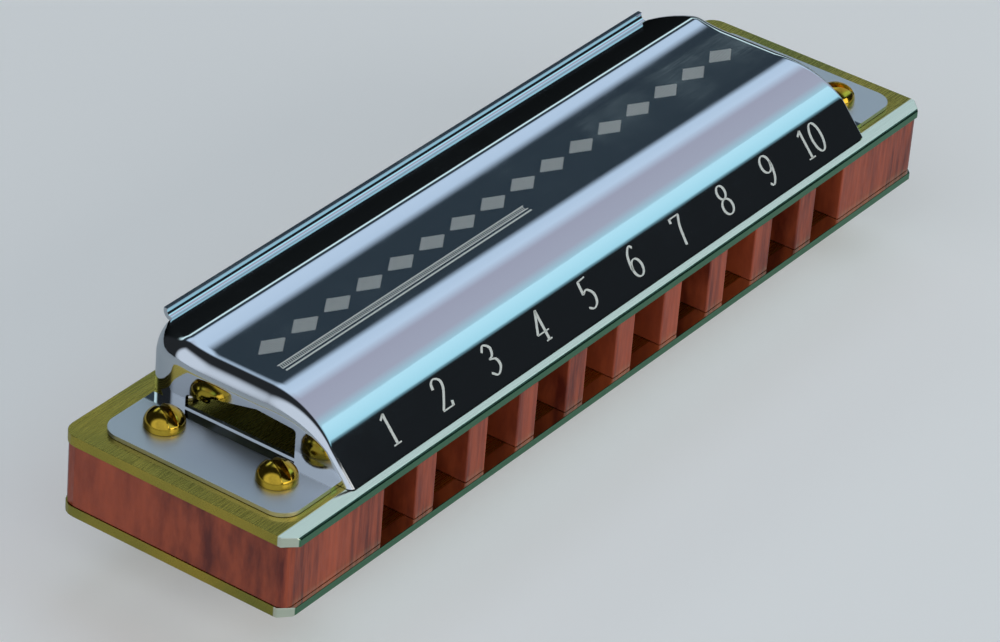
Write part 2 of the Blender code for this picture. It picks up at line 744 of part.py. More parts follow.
def make_plate_screws(surface):
    """Screws from the upper plate's outer face through the comb into the lower plate."""
    head_seat = UPPER_PLATE_BOTTOM + PLATE_THICKNESS + SEAT
    tip = LOWER_PLATE_BOTTOM - head_seat
    chamfer = SCREW_RADIUS * 0.3
    head = dome(SCREW_HEAD_RADIUS, SCREW_HEAD_HEIGHT, 0, SCREW_HEAD_HEIGHT * 0.35, steps=4)
    profile = head + [
        (SCREW_RADIUS, 0),
        (SCREW_RADIUS, tip + chamfer),
        (SCREW_RADIUS - chamfer, tip),
        (0, tip),
    ]
    reach = SCREW_HEAD_RADIUS + OVERCUT
    mesh = slotted(
        "plate_screw", profile, SCREW_SLOT_WIDTH, SCREW_SLOT_DEPTH, SCREW_HEAD_HEIGHT, reach, 12
    )
    mesh.materials.append(surface)
    for index, (place, (x, y)) in enumerate(screw_centres().items()):
        screw = add_object(f"plate_screw_{place}", mesh)
        screw.location = (x, y, head_seat)
        screw.rotation_euler.z = math.radians(35 * index)


def clear_scene():
    for obj in list(bpy.data.objects):
        bpy.data.objects.remove(obj)


def main():
    clear_scene()
    for collection in (MODEL, CUTTERS):
        bpy.context.scene.collection.children.link(collection)
    CUTTERS.hide_render = True
    wood = material("lacquered_pearwood", (0.16, 0.035, 0.022), 0.35, 0)
    brass = material("rolled_brass", (0.66, 0.52, 0.20), 0.22, 1)
    reed_brass = material("milled_reed_brass", (0.72, 0.58, 0.27), 0.32, 1)
    bolt_brass = material("polished_brass", (0.80, 0.60, 0.16), 0.10, 1)
    rivet_brass = material("headed_brass", (0.70, 0.55, 0.24), 0.28, 1)
    steel = material("polished_stainless_steel", (0.64, 0.67, 0.70), 0.08, 1)
    screw_steel = material("zinc_plated_steel", (0.55, 0.56, 0.57), 0.3, 1)
    make_comb(wood)
    make_reed_plate("upper_reed_plate", "blow", brass)
    make_reed_plate("lower_reed_plate", "draw", brass)
    rivet_holes = [(hole_centre(number), FRONT + RIVET_LINE) for number in range(1, HOLES + 1)]
    bore = bore_cutter("reed_bores", rivet_holes, RIVET_RADIUS + SEAT, 0, UPPER_COVER_FOOT, steps=10)
    for row in ("blow", "draw"):
        make_reeds(row, reed_brass, bore)
        make_rivets(row, rivet_brass)
    make_covers(steel)
    make_bolts(bolt_brass, bolt_brass)
    make_plate_screws(screw_steel)


main()
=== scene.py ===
"""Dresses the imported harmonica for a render: fine covers and bolts, the hole numbers, a panel ornament,
finishes for every CAD node, and a plain studio round it. All sizes are in metres unless a name says mm."""

import math

import bmesh
import bpy
from bpy.props import FloatProperty, FloatVectorProperty, PointerProperty
from mathutils import Matrix, Vector
from mathutils.geometry import interpolate_bezier


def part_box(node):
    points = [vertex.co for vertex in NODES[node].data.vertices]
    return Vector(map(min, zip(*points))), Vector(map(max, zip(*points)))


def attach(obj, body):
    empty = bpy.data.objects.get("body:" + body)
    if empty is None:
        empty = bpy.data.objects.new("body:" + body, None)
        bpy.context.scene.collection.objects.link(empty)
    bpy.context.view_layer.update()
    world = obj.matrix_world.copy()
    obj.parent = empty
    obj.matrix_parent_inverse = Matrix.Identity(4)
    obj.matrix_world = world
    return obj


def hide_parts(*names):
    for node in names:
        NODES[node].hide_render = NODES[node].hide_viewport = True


bl_info = {
    "name": "Diatonic harmonica",
    "version": (1, 0, 0),
    "blender": (4, 5, 0),
    "location": "View3D > Sidebar > Harmonica",
    "description": "Finishes, covers, bolts and numbers of a ten-hole harmonica, with its studio",
    "category": "Object",
}

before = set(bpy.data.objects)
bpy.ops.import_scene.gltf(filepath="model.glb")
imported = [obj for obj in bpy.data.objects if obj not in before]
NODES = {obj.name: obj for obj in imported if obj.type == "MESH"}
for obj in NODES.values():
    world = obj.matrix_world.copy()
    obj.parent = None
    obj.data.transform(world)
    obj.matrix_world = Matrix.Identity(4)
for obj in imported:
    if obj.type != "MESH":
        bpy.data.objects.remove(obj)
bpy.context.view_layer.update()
BODY = "frame"

MM = 0.001
HOLES = 10

# The plates and the covers, as the CAD has them. The numbers below them are the cover's own sizes there.
PLATE_LOW, PLATE_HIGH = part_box("upper_reed_plate")
COVER_LOW, COVER_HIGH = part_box("upper_cover")
LOWER_COVER_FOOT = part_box("lower_cover")[1].z
FRONT = PLATE_LOW.y
REAR = PLATE_HIGH.y
PLATE_END = PLATE_HIGH.x
COVER_END_INSET = 9.3 * MM
COVER_END = PLATE_END - COVER_END_INSET
TAB_END = COVER_HIGH.x

SHEET = 0.4 * MM
FACE_INSET = 0.95 * MM
FACE_ANGLE = math.radians(49)
FACE_LENGTH = 4.0 * MM
PANEL_START = 10.8 * MM
PANEL_HEIGHT = 5.9 * MM
RISE_LENGTH = 3.3 * MM
CREST_HEIGHT = 6.25 * MM
CREST_RADIUS = 0.5 * MM
REAR_SLOPE_ANGLE = math.radians(13)
REAR_SLOPE_LENGTH = 3.9 * MM
LIP_RADIUS = 0.5 * MM
LIP_TURN = math.radians(103)
LIP_RISE = 0.2 * MM
COVER_REAR_INSET = 0.05 * MM
FOLD_RADIUS = 0.55 * MM
ROLL_RADIUS = 2.0 * MM
REAR_CORNER_RADIUS = 4.2 * MM
REAR_CORNER_DEPTH = 3.7 * MM
TAB_FRONT_INSET = 2.2 * MM
TAB_REAR_INSET = 2.5 * MM
TAB_RADIUS = 2.0 * MM
WINDOW_FRONT = 7.1 * MM
WINDOW_LENGTH = 9.5 * MM
WINDOW_NOTCH_LENGTH = 2.4 * MM
WINDOW_SILL = 0.15 * MM
WINDOW_BELOW_ROLL = 0.25 * MM
WINDOW_REAR_DROP = 1.2 * MM
WINDOW_NOTCH_DROP = 0.6 * MM
WINDOW_RADIUS = 0.4 * MM
WINDOW_PEAK_SHARE = 0.45

# How far the cover's rows run below its foot before they are cut off level, and how strongly its
# shoulder leaves the front face
FOOT_OVERRUN = 1.0 * MM
FACE_OVERRUN = 0.7 * MM
SHOULDER_PULL = 0.45

BOLT_PLACES = ("front_left", "rear_left", "front_right", "rear_right")
BOLT_TURNS = {"front_left": -24, "rear_left": -25, "front_right": 38, "rear_right": -63}
BOLT_RADIUS = 1.0 * MM
BOLT_HOLE_RADIUS = 1.1 * MM
BOLT_HEAD_RADIUS = 1.87 * MM
BOLT_HEAD_HEIGHT = 1.75 * MM
BOLT_HEAD_RIM = 0.3 * MM
BOLT_SLOT_WIDTH = 0.85 * MM
BOLT_SLOT_DEPTH = 0.95 * MM
BOLT_RIM_EASE = 0.06 * MM
BOLT_SLOT_BREAK = 0.05 * MM
BOLT_TIP_CHAMFER_SHARE = 0.25

# Widths of the broken edges on small pieces
RIVET_BREAK = 0.03 * MM
NUT_BREAK = 0.05 * MM
SCREW_BREAK = 0.03 * MM

# Marks stand this far off the sheet, so that the two never share a plane
MARK_GAP = 0.002 * MM
NUMBER_START_UP_FACE = 1.06 * MM
DIGIT_ADVANCE = 0.64

# The panel's ornament, in millimetres: a rule of three lines, hatched between the outer two, and lozenges
RULE_START, RULE_END = -36.6, -0.8
RULE_LINES = ((-0.44, -0.34), (-1.02, -0.92), (-1.44, -1.26))
HATCH_LOW, HATCH_HIGH = -0.92, -0.44
HATCH_PITCH, HATCH_LINE, HATCH_LEAN = 0.26, 0.1, 0.18
LOZENGES = 16
LOZENGE_FIRST, LOZENGE_PITCH, LOZENGE_MIDDLE_Y = -34.5, 4.6, 1.9
LOZENGE_HALF_WIDTH, LOZENGE_HALF_HEIGHT = 1.9, 1.15
LOZENGE_LINE, LOZENGE_LINE_PITCH, LOZENGE_LINES_EACH_SIDE = 0.1, 0.24, 7

# The camera that was fitted to the photograph
CAMERA_PLACE = Vector((-0.33313, -0.21797, 0.25887))
CAMERA_RIGHT = Vector((0.58654645, -0.80663245, 0.07285156))
CAMERA_UP = Vector((0.3968149, 0.36462495, 0.84236962))
CAMERA_BACK = Vector((-0.70604617, -0.46518032, 0.53395325))
CAMERA_LENS_MM = 185.2

# The studio's strips of light and dark, which all run along X: the angle from overhead towards the back,
# and the colour there
STUDIO_STRIPS = (
    (-88, (0.015, 0.017, 0.02)),
    (-50, (0.012, 0.014, 0.016)),
    (-43, (0.30, 0.60, 0.72)),
    (-24, (0.42, 0.70, 0.82)),
    (-12, (0.44, 0.46, 0.57)),
    (10, (0.42, 0.43, 0.54)),
    (20, (0.60, 0.74, 0.92)),
    (30, (0.56, 0.70, 0.88)),
    (36, (0.03, 0.045, 0.06)),
    (46, (0.03, 0.045, 0.06)),
    (49, (0.75, 0.96, 1.0)),
    (56, (0.75, 0.96, 1.0)),
    (59, (0.01, 0.012, 0.013)),
)

# Beyond these values of a direction's X, the strips give way to the left side's own light
STRIPS_FADE = (0.12, 0.3)
LEFT_LIGHT_TOWARDS = Vector((-0.9, -0.2, 0.39)).normalized()
LEFT_LIGHT_FADE = (0.56, 0.78)
LEFT_DARK = (0.02, 0.022, 0.025)
LEFT_PALE = (0.66, 0.72, 0.82)
WORLD_STRENGTH = 1.15
BACKDROP = "#E9E8E6"

# Lamps as (name, direction, size, distance, radiance, colour, shift along X). Size and shift are in units
# of the distance.
LAMPS = (
    ("right_bar", (0, -0.555, 0.832), (2.0, 0.38), 0.54, 0.3, (0.60, 0.92, 1.0), 1.35),
    ("front_fill", (0, -0.95, 0.31), (0.9, 0.6), 0.7, 1.9, (1.0, 0.98, 0.95), 0),
)

FLOOR_RADIUS = 3.0
FLOOR_DROP = 0.02 * MM
FLOOR_GLOW = 0.3

# Places on the metal where a finish changes, in millimetres: the width of the buffed band along the
# plates' front, painted pale as a highlight, where the band painted dark green as the front edge's reflection
# turns into it, and where the covers' satin tabs begin
NOSE_WIDTH_MM = 1.6
PAINTED_EDGE_REFLECTION_MM = (0.08, 0.14)
TAB_START_MM = 41.3
FINISH_FADE_MM = 0.1
TAB_FADE_MM = 0.3


def linear(code):
    """The linear RGBA of an sRGB hex code."""
    parts = [int(code[i : i + 2], 16) / 255 for i in (1, 3, 5)]
    parts = [c / 12.92 if c <= 0.04045 else ((c + 0.055) / 1.055) ** 2.4 for c in parts]
    return (*parts, 1.0)


def length_setting(name, about, millimetres):
    return FloatProperty(name=name, description=about, default=millimetres * MM, unit="LENGTH", precision=5)


def colour_setting(name, about, code):
    return FloatVectorProperty(
        name=name, description=about, default=linear(code)[:3], subtype="COLOR", min=0, max=1
    )


class HarmonicaSizes(bpy.types.PropertyGroup):
    """Sizes that a user would change."""

    number_height: length_setting("Number height", "Height of the hole numbers up the front face", 3.0)
    number_pitch: length_setting("Number pitch", "Distance from one number's middle to the next", 7.33)
    first_number: length_setting("First number", "Where number 1 stands along the front face", -32.85)
    thick_stroke: length_setting("Thick stroke", "Width of the numbers' upright strokes", 0.31)
    thin_stroke: length_setting("Thin stroke", "Width of the numbers' level strokes", 0.13)
    etch_depth: length_setting("Etch thickness", "How far an etched mark stands off the sheet", 0.012)
    edge_break: length_setting("Edge break", "Width of the broken edges on plates and comb", 0.06)


class HarmonicaColours(bpy.types.PropertyGroup):
    """Colours that a user would change."""

    steel: colour_setting("Cover steel", "Polished stainless steel", "#D3D8DC")
    plate: colour_setting("Plate brass", "Rolled brass of the reed plates", "#C9B24E")
    plate_tarnish: colour_setting("Plate tarnish", "Greener brass where the plate has dulled", "#9C9A4A")
    reed: colour_setting("Reed brass", "Milled brass of the reeds", "#D9C07A")
    bolt: colour_setting("Bolt brass", "Polished brass of the cover bolts", "#C9A637")
    wood: colour_setting("Comb wood", "Stained pearwood between its streaks", "#A84A2A")
    wood_dark: colour_setting("Comb streaks", "The dark streaks of the comb's grain", "#641F12")
    zinc: colour_setting("Screw zinc", "Zinc plating of the plate screws", "#B9BCBD")
    # Pale painted highlight along the plates' nose, set into the base colour
    plate_nose: colour_setting("Plate nose", "Brass buffed pale where the lips rest", "#EFF6DC")
    # Dark green painted reflection on the plates' front edges, set into the base colour
    plate_edge: colour_setting("Plate edge", "Greener brass of the sheared front edges", "#5F8F6C")
    etch: colour_setting("Etched marks", "Etched numbers and ornament", "#E8E6DC")
    floor: colour_setting("Floor", "The pale floor", "#E4E3E0")


def add_node(tree, kind, settings=None, links=None, values=None):
    """One shader or geometry node: its settings, what its inputs are linked from, and their fixed values."""
    node = tree.nodes.new(kind)
    for name, value in (settings or {}).items():
        setattr(node, name, value)
    for name, value in (values or {}).items():
        node.inputs[name].default_value = value
    for name, source in (links or {}).items():
        tree.links.new(source, node.inputs[name])
    return node


def new_finish(name, base=None, metallic=1):
    """A material with its shader, and the place on the object in millimetres."""
    made = bpy.data.materials.new(name)
    made.use_nodes = True
    tree = made.node_tree
    place = add_node(tree, "ShaderNodeTexCoord").outputs["Object"]
    scaled = add_node(tree, "ShaderNodeVectorMath", {"operation": "SCALE"}, {0: place}, {"Scale": 1 / MM})
    shader = tree.nodes["Principled BSDF"]
    shader.inputs["Metallic"].default_value = metallic
    if base is not None:
        shader.inputs["Base Color"].default_value = (*base, 1)
    return made, tree, shader, scaled.outputs[0]


def stretched(tree, place, stretch):
    settings = {"operation": "MULTIPLY"}
    return add_node(tree, "ShaderNodeVectorMath", settings, {0: place}, {1: stretch}).outputs[0]


def noise(tree, place, per_mm, detail=2.0, roughness=0.5):
    values = {"Scale": per_mm, "Detail": detail, "Roughness": roughness}
    return add_node(tree, "ShaderNodeTexNoise", None, {"Vector": place}, values).outputs["Fac"]


def ranged(tree, source, low, high, to_low, to_high):
    values = {"From Min": low, "From Max": high, "To Min": to_low, "To Max": to_high}
    return add_node(tree, "ShaderNodeMapRange", None, {"Value": source}, values).outputs["Result"]


def eased(tree, source, low, high):
    """0 below the low value and 1 above the high one, with a smooth step between."""
    settings = {"interpolation_type": "SMOOTHSTEP"}
    values = {"From Min": low, "From Max": high}
    return add_node(tree, "ShaderNodeMapRange", settings, {"Value": source}, values).outputs["Result"]


def mixed(tree, share, first, second):
    """A colour between two, which are sockets or plain colours."""
    mix = add_node(tree, "ShaderNodeMix", {"data_type": "RGBA"}, {0: share})
    for index, colour in ((6, first), (7, second)):
        if hasattr(colour, "node"):
            tree.links.new(colour, mix.inputs[index])
        else:
            mix.inputs[index].default_value = (*colour[:3], 1)
    return mix.outputs[2]


def bumped(tree, height, depth_mm, strength):
    values = {"Strength": strength, "Distance": depth_mm * MM}
    return add_node(tree, "ShaderNodeBump", None, {"Height": height}, values).outputs["Normal"]


def mirror_polished_stainless_steel(colours):
    """Pressed stainless steel, buffed to a mirror, with its tabs left satin. The eye gets clean dark and
    bright bands, faint buffing lines along the length, a few dull spots from hands, and pale soft tabs."""
    made, tree, shader, place = new_finish("mirror_polished_stainless_steel", colours.steel)
    buffing = noise(tree, stretched(tree, place, (0.25, 6.0, 6.0)), 1.6, 3)
    handling = noise(tree, place, 0.12, 4, 0.6)
    fine = ranged(tree, buffing, 0.3, 0.7, 0.035, 0.075)
    dull = ranged(tree, handling, 0.5, 0.75, 0.0, 0.05)
    total = add_node(tree, "ShaderNodeMath", {"operation": "ADD"}, {0: fine, 1: dull}).outputs[0]
    along = add_node(tree, "ShaderNodeSeparateXYZ", None, {0: place}).outputs["X"]
    out = add_node(tree, "ShaderNodeMath", {"operation": "ABSOLUTE"}, {0: along}).outputs[0]
    tab = ranged(tree, out, TAB_START_MM, TAB_START_MM + TAB_FADE_MM, 0, 1)
    satin = add_node(tree, "ShaderNodeMix", None, {0: tab, 2: total}, {3: 0.4}).outputs[0]
    tree.links.new(satin, shader.inputs["Roughness"])
    tree.links.new(bumped(tree, buffing, 0.002, 0.25), shader.inputs["Normal"])
    return made


def unpolished_stainless_steel(colours):
    """The covers' inside, rough as it came from the rolling mill, with its colour darkened far below the
    steel's as painted shade. The eye gets a dark, even grey.
    """
    # Painted shade: the inside takes 0.22 of the polished steel's colour, darker than the steel is
    dark = tuple(0.22 * c for c in colours.steel)
    made, tree, shader, place = new_finish("unpolished_stainless_steel", dark)
    cloud = noise(tree, place, 0.7, 3)
    tree.links.new(ranged(tree, cloud, 0.3, 0.7, 0.42, 0.55), shader.inputs["Roughness"])
    return made


def rolled_brass(colours):
    """Rolled sheet brass, a little dulled, with a buffed front. The eye gets olive gold
    with soft green patches, short rolling lines along the plate, a pale nose painted on as a highlight, and a
    dark green front edge painted on as a reflection."""
    made, tree, shader, place = new_finish("rolled_brass")
    patches = noise(tree, place, 0.09, 3)
    rolling = noise(tree, stretched(tree, place, (0.3, 9.0, 9.0)), 1.4, 2)
    colour = mixed(tree, ranged(tree, patches, 0.35, 0.65, 0, 1), colours.plate, colours.plate_tarnish)
    back = add_node(tree, "ShaderNodeSeparateXYZ", None, {0: place}).outputs["Y"]
    front_mm = FRONT / MM
    nose_end = front_mm + NOSE_WIDTH_MM
    # The nose band is painted pale as a highlight, and is also buffed smoother below
    nose = ranged(tree, back, nose_end - FINISH_FADE_MM, nose_end, 1, 0)
    colour = mixed(tree, nose, colour, colours.plate_nose)
    # The front edge is painted dark green as a reflection
    edge = ranged(tree, back, front_mm + PAINTED_EDGE_REFLECTION_MM[0], front_mm + PAINTED_EDGE_REFLECTION_MM[1], 1, 0)
    colour = mixed(tree, edge, colour, colours.plate_edge)
    tree.links.new(colour, shader.inputs["Base Color"])
    satin = ranged(tree, rolling, 0.3, 0.7, 0.20, 0.32)
    buffed = add_node(tree, "ShaderNodeMix", None, {0: nose, 2: satin}, {3: 0.1}).outputs[0]
    tree.links.new(buffed, shader.inputs["Roughness"])
    tree.links.new(bumped(tree, rolling, 0.004, 0.4), shader.inputs["Normal"])
    return made


def milled_reed_brass(colours):
    """Reed brass, milled thin and then filed by hand. The eye gets bright fine scratches down the reed."""
    made, tree, shader, place = new_finish("milled_reed_brass", colours.reed)
    filing = noise(tree, stretched(tree, place, (12.0, 0.5, 12.0)), 1.2, 3)
    tree.links.new(ranged(tree, filing, 0.3, 0.7, 0.22, 0.42), shader.inputs["Roughness"])
    tree.links.new(bumped(tree, filing, 0.006, 0.5), shader.inputs["Normal"])
    return made


def headed_brass(colours):
    """Rivet wire, upset cold. The eye gets small satin domes with faint die marks."""
    made, tree, shader, place = new_finish("headed_brass", colours.reed)
    marks = noise(tree, place, 2.5, 3)
    tree.links.new(ranged(tree, marks, 0.3, 0.7, 0.2, 0.38), shader.inputs["Roughness"])
    tree.links.new(bumped(tree, marks, 0.01, 0.3), shader.inputs["Normal"])
    return made


def turned_polished_brass(colours):
    """Bolts and nuts turned from brass bar and polished. The eye gets deep gold with crisp highlights,
    and darker gold where polish gathers."""
    made, tree, shader, place = new_finish("turned_polished_brass")
    wear = noise(tree, place, 0.8, 4, 0.6)
    darker = tuple(0.62 * c for c in colours.bolt)
    gold = mixed(tree, ranged(tree, wear, 0.45, 0.7, 0, 1), colours.bolt, darker)
    tree.links.new(gold, shader.inputs["Base Color"])
    tree.links.new(ranged(tree, wear, 0.3, 0.7, 0.09, 0.2), shader.inputs["Roughness"])
    return made


def zinc_plated_steel(colours):
    """Bright zinc on steel screws. The eye gets a cool grey with a fine, slightly cloudy crystal."""
    made, tree, shader, place = new_finish("zinc_plated_steel", colours.zinc)
    cloud = noise(tree, place, 1.5, 3)
    tree.links.new(ranged(tree, cloud, 0.3, 0.7, 0.22, 0.4), shader.inputs["Roughness"])
    return made


def stained_lacquered_pearwood(colours):
    """Pearwood, stained red-brown and lacquered. The eye gets upright dark streaks about half a
    millimetre apart, fine pores, and a soft gloss over them."""
    made, tree, shader, place = new_finish("stained_lacquered_pearwood", metallic=0)
    streaks = noise(tree, stretched(tree, place, (1.0, 0.25, 0.08)), 1.9, 4, 0.6)
    broad = noise(tree, stretched(tree, place, (1.0, 0.3, 0.05)), 0.16, 2)
    pores = noise(tree, stretched(tree, place, (9.0, 1.2, 0.8)), 1.2, 2)
    share = ranged(tree, streaks, 0.38, 0.66, 0, 1)
    body = mixed(tree, share, colours.wood, colours.wood_dark)
    lighter = tuple(min(1, 1.5 * c) for c in colours.wood)
    tone = mixed(tree, ranged(tree, broad, 0.42, 0.66, 0, 0.55), body, lighter)
    tree.links.new(tone, shader.inputs["Base Color"])
    tree.links.new(ranged(tree, pores, 0.3, 0.7, 0.32, 0.5), shader.inputs["Roughness"])
    tree.links.new(bumped(tree, pores, 0.02, 0.35), shader.inputs["Normal"])
    shader.inputs["Coat Weight"].default_value = 0.15
    shader.inputs["Coat Roughness"].default_value = 0.12
    return made


def etched_steel(colours):
    """Marks etched into the cover. The eye gets a pale, frosted grey against the mirror."""
    made, tree, shader, place = new_finish("etched_steel", colours.etch, 0.25)
    frost = noise(tree, place, 6.0, 2)
    tree.links.new(ranged(tree, frost, 0.3, 0.7, 0.45, 0.6), shader.inputs["Roughness"])
    return made


FINISHES = {
    "cover_steel": mirror_polished_stainless_steel,
    "plate_brass": rolled_brass,
    "reed_brass": milled_reed_brass,
    "rivet_brass": headed_brass,
    "bolt_brass": turned_polished_brass,
    "screw_steel": zinc_plated_steel,
    "comb_wood": stained_lacquered_pearwood,
    "etched_marks": etched_steel,
    "inside_steel": unpolished_stainless_steel,
}


def finish(key):
    """The material for a slot, made once."""
    made = FINISHES[key]
    found = bpy.data.materials.get(made.__name__)
    return found or made(bpy.context.scene.harmonica_colours)


def dress(node_name, key):
    """Gives a CAD node its finish."""
    node = NODES[node_name]
    if node.material_slots:
        node.material_slots[0].material = finish(key)
    else:
        node.data.materials.append(finish(key))


def softened_edges(node_name, width, angle=30):
    """Welds a CAD node's split faces and breaks its sharp edges, as modifiers only."""
    node = NODES[node_name]
    weld = node.modifiers.new("weld", "WELD")
    weld.merge_threshold = 1e-6
    bevel = node.modifiers.new("edge_break", "BEVEL")
    bevel.width = width
    bevel.segments = 2
    bevel.limit_method = "ANGLE"
    bevel.angle_limit = math.radians(angle)
    bevel.use_clamp_overlap = True


def arc(centre, start, end, steps):
    """Points from start to end round a centre."""
    radius = (start - centre).length
    first = (start - centre).normalized()
    last = (end - centre).normalized()
    return [centre + radius * first.slerp(last, i / steps) for i in range(steps + 1)]


def rounded_outline(corners, steps=10):
    """A closed outline through (x, y, radius) corners. A radius of 0 leaves its corner sharp."""
    outline = []
    for index, (x, y, radius) in enumerate(corners):
        corner = Vector((x, y))
        if radius == 0:
            outline.append(corner)
            continue
        back = (Vector(corners[index - 1][:2]) - corner).normalized()
        ahead = (Vector(corners[(index + 1) % len(corners)][:2]) - corner).normalized()
        half = back.angle(ahead) / 2
        reach = radius / math.tan(half)
        centre = corner + (back + ahead).normalized() * (radius / math.sin(half))
        outline += arc(centre, corner + back * reach, corner + ahead * reach, steps)
    return outline


def object_from(bm, name):
    mesh = bpy.data.meshes.new(name)
    bm.to_mesh(mesh)
    bm.free()
    obj = bpy.data.objects.new(name, mesh)
    bpy.context.scene.collection.objects.link(obj)
    return obj


def prism(name, outline, low, high, upright=False):
    """A solid between two heights. An upright one has its outline in Y and Z, and runs along X."""
    bm = bmesh.new()
    rings = []
    for height in (low, high):
        places = [(height, p.x, p.y) if upright else (p.x, p.y, height) for p in outline]
        rings.append([bm.verts.new(place) for place in places])
    count = len(outline)
    for i in range(count):
        j = (i + 1) % count
        bm.faces.new((rings[0][i], rings[0][j], rings[1][j], rings[1][i]))
    bm.faces.new(rings[0])
    bm.faces.new(rings[1])
    bmesh.ops.recalc_face_normals(bm, faces=bm.faces)
    return object_from(bm, name)


def applied(obj, name, sharp=32):
    """The object's mesh with its modifiers applied, welded, and smooth between its sharp edges."""
    bpy.context.view_layer.update()
    graph = bpy.context.evaluated_depsgraph_get()
    mesh = bpy.data.meshes.new_from_object(obj.evaluated_get(graph))
    mesh.name = name
    bm = bmesh.new()
    bm.from_mesh(mesh)
    bmesh.ops.remove_doubles(bm, verts=bm.verts, dist=1e-7)
    bmesh.ops.recalc_face_normals(bm, faces=bm.faces)
    bm.to_mesh(mesh)
    bm.free()
    mesh.shade_smooth()
    mesh.set_sharp_from_angle(angle=math.radians(sharp))
    bpy.data.objects.remove(obj)
    return mesh


def combine(obj, other, operation="DIFFERENCE"):
    """Applies a Boolean at once and removes the other object."""
    modifier = obj.modifiers.new(operation.lower(), "BOOLEAN")
    modifier.operation = operation
    modifier.object = other
    modifier.solver = "EXACT"
    bpy.context.view_layer.update()
    graph = bpy.context.evaluated_depsgraph_get()
    mesh = bpy.data.meshes.new_from_object(obj.evaluated_get(graph))
    obj.modifiers.clear()
    obj.data = mesh
    bpy.data.objects.remove(other)


def cover_rows():
    """The cover's cross-section as rows of (y, z, roll radius, lean), from under its front foot to its
    rear slope, as in the CAD but with finer steps."""
    foot = Vector((FRONT + FACE_INSET, 0))
    up_face = Vector((math.cos(FACE_ANGLE), math.sin(FACE_ANGLE)))
    face_end = foot + up_face * FACE_LENGTH
    panel_start = Vector((FRONT + PANEL_START, PANEL_HEIGHT))
    rows = [(foot - up_face * FACE_OVERRUN, 0), (foot + up_face * FACE_LENGTH / 2, 0), (face_end, 0)]
    reach = (panel_start.x - face_end.x) / 2
    pulled = face_end + up_face * reach * SHOULDER_PULL
    handles = (face_end, pulled, panel_start - Vector((reach, 0)), panel_start)
    steps = 24
    shoulder = interpolate_bezier(*(Vector((p.x, p.y, 0)) for p in handles), steps + 1)
    rows += [(Vector((p.x, p.y)), i / steps) for i, p in enumerate(shoulder)][1:]
    slope = Vector((math.cos(REAR_SLOPE_ANGLE), -math.sin(REAR_SLOPE_ANGLE)))
    lip_depth = LIP_RADIUS * (1 + math.sin(REAR_SLOPE_ANGLE)) + SHEET
    slope_end_y = REAR - COVER_REAR_INSET - lip_depth
    crest = Vector((slope_end_y - REAR_SLOPE_LENGTH * slope.x, CREST_HEIGHT))
    rise_start = crest.x - RISE_LENGTH
    rows.append((Vector(((panel_start.x + rise_start) / 2, PANEL_HEIGHT)), 1))
    rise_steps = 10
    for i in range(rise_steps + 1):
        part = i / rise_steps
        y = rise_start + (RISE_LENGTH - CREST_RADIUS) * part
        share = (y - rise_start) / RISE_LENGTH
        rows.append((Vector((y, PANEL_HEIGHT + (CREST_HEIGHT - PANEL_HEIGHT) * share**2)), 1))
    start = rows[-1][0]
    end = crest + slope * CREST_RADIUS
    ahead = Vector((1, 2 * (CREST_HEIGHT - PANEL_HEIGHT) / RISE_LENGTH)).normalized()
    span = (end - start).length / 3
    bend = interpolate_bezier(
        *(Vector((p.x, p.y, 0)) for p in (start, start + ahead * span, end - slope * span, end)), 9
    )
    rows += [(Vector((p.x, p.y)), 1) for p in bend][1:]
    for part in (0.3, 0.5, 0.65, 0.8, 0.9, 1):
        rows.append((crest + slope * REAR_SLOPE_LENGTH * part, 1))
    return [
        (p.x, p.y, FOLD_RADIUS + (ROLL_RADIUS - FOLD_RADIUS) * ease, FACE_ANGLE * (1 - ease))
        for p, ease in rows
    ]


def lip_rows(slope_end):
    """The turned-up rear lip's cross-section, as points that follow the rear slope's end."""
    heading = -REAR_SLOPE_ANGLE
    centre = slope_end + LIP_RADIUS * Vector((-math.sin(heading), math.cos(heading)))
    points = []
    steps = 14
    for i in range(1, steps + 1):
        angle = heading + LIP_TURN * i / steps
        points.append(centre + LIP_RADIUS * Vector((math.sin(angle), -math.cos(angle))))
    end = heading + LIP_TURN
    points.append(points[-1] + LIP_RISE * Vector((math.cos(end), math.sin(end))))
    return points


def end_of_row(y, last_y):
    """How far out the end wall stands at a depth y. It turns in round the rear corner."""
    depth = max(0, y - (last_y - REAR_CORNER_DEPTH))
    return COVER_END - REAR_CORNER_RADIUS + math.sqrt(REAR_CORNER_RADIUS**2 - depth**2)


def cover_sheet():
    """The cover's outer face as an open surface of rows across it, and its rear lip."""
    bm = bmesh.new()
    steps = 12
    grid = []
    rows = cover_rows()
    for y, z, roll, lean in rows:
        end = end_of_row(y, rows[-1][0])
        inward_y = roll * math.sin(lean)
        inward_z = -roll * math.cos(lean)
        half = [(end, y + inward_y, -FOOT_OVERRUN)]
        for i in range(steps, -1, -1):
            angle = math.pi / 2 * i / steps
            drop = 1 - math.cos(angle)
            half.append((end - roll * (1 - math.sin(angle)), y + inward_y * drop, z + inward_z * drop))
        row = [(-x, py, pz) for x, py, pz in half] + half[::-1]
        grid.append([bm.verts.new(p) for p in row])
    for row, behind in zip(grid, grid[1:]):
        for i in range(len(row) - 1):
            bm.faces.new((row[i], row[i + 1], behind[i + 1], behind[i]))
    last = grid[-1]
    left, right = last[steps + 1], last[steps + 2]
    for y, z in lip_rows(Vector((left.co.y, left.co.z))):
        next_left = bm.verts.new((left.co.x, y, z))
        next_right = bm.verts.new((right.co.x, y, z))
        bm.faces.new((left, right, next_right, next_left))
        left, right = next_left, next_right
    bmesh.ops.recalc_face_normals(bm, faces=bm.faces)
    if max(bm.faces, key=lambda face: face.calc_center_median().z).normal.z < 0:
        bmesh.ops.reverse_faces(bm, faces=bm.faces)
    return object_from(bm, "cover_sheet")


